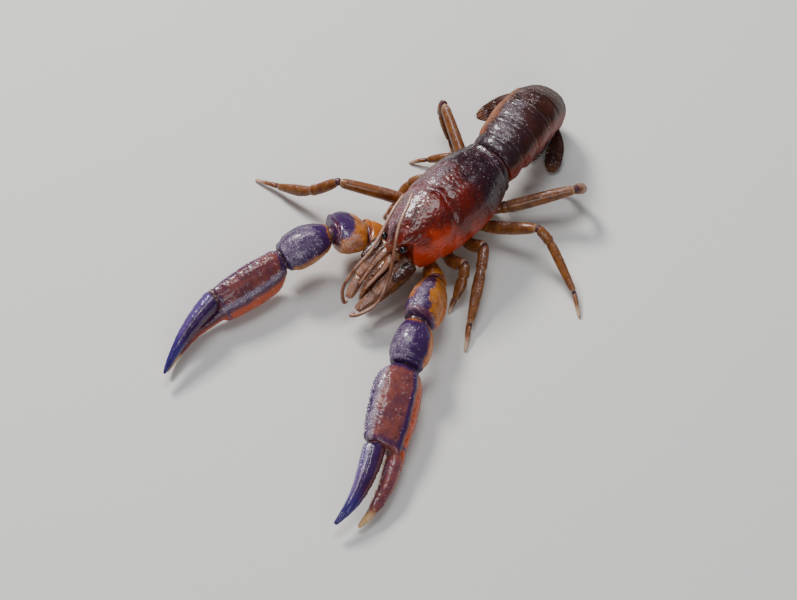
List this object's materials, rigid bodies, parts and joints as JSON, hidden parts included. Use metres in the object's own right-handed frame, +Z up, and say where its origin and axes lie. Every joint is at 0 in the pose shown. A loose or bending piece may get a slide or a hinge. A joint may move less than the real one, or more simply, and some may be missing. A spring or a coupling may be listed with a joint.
{
  "type": "burrowing crayfish",
  "caption": "Life-size still model of a burrowing crayfish standing with its claws stretched forward and its tail fan curled under.",
  "frame": {"origin": "on the floor, under the middle of the model's bounding box", "axes": "-Y is where the head faces, +X is the animal's left, +Z is up"},
  "size_m": [0.0608, 0.085, 0.017],
  "materials": {
    "carapace_shell": "glossy dark red-brown shell with purple mottling",
    "tail_shell": "glossy dark brown-purple shell",
    "fan_shell": "translucent amber-brown thin shell",
    "belly_shell": "pale amber soft underside",
    "claw_shell": "glossy mauve, purple and orange claw shell",
    "finger_shell": "glossy deep blue-violet finger shell",
    "limb_shell": "amber-brown leg shell with paler ridges",
    "feeler_shell": "pinkish tan feeler",
    "eye_cornea": "near-black glossy cornea"
  },
  "bodies": {
    "root": {"carapace": "carapace_shell", "thorax_underside": "belly_shell", "abdomen_1": "tail_shell", "abdomen_2": "tail_shell", "abdomen_3": "tail_shell", "abdomen_4": "tail_shell", "abdomen_5": "tail_shell", "abdomen_6": "tail_shell", "telson": "fan_shell", "uropod_left_inner": "fan_shell", "uropod_left_outer": "fan_shell", "eye_left": "eye_cornea", "antenna_base_left": "feeler_shell", "antenna_left": "feeler_shell", "antennule_left": "feeler_shell", "antenna_scale_left": "fan_shell", "maxilliped_left": "limb_shell", "claw_left_base": "claw_shell", "claw_left_merus": "claw_shell", "claw_left_carpus": "claw_shell", "claw_left_palm": "claw_shell", "claw_left_finger": "finger_shell", "leg_left_1_thigh": "limb_shell", "leg_left_1_shank": "limb_shell", "leg_left_1_tip": "limb_shell", "leg_left_2_thigh": "limb_shell", "leg_left_2_shank": "limb_shell", "leg_left_2_tip": "limb_shell", "leg_left_3_thigh": "limb_shell", "leg_left_3_shank": "limb_shell", "leg_left_3_tip": "limb_shell", "leg_left_4_thigh": "limb_shell", "leg_left_4_shank": "limb_shell", "leg_left_4_tip": "limb_shell", "uropod_right_inner": "fan_shell", "uropod_right_outer": "fan_shell", "eye_right": "eye_cornea", "antenna_base_right": "feeler_shell", "antenna_right": "feeler_shell", "antennule_right": "feeler_shell", "antenna_scale_right": "fan_shell", "maxilliped_right": "limb_shell", "claw_right_base": "claw_shell", "claw_right_merus": "claw_shell", "claw_right_carpus": "claw_shell", "claw_right_palm": "claw_shell", "claw_right_finger": "finger_shell", "leg_right_1_thigh": "limb_shell", "leg_right_1_shank": "limb_shell", "leg_right_1_tip": "limb_shell", "leg_right_2_thigh": "limb_shell", "leg_right_2_shank": "limb_shell", "leg_right_2_tip": "limb_shell", "leg_right_3_thigh": "limb_shell", "leg_right_3_shank": "limb_shell", "leg_right_3_tip": "limb_shell", "leg_right_4_thigh": "limb_shell", "leg_right_4_shank": "limb_shell", "leg_right_4_tip": "limb_shell"}
  },
  "joints": []
}
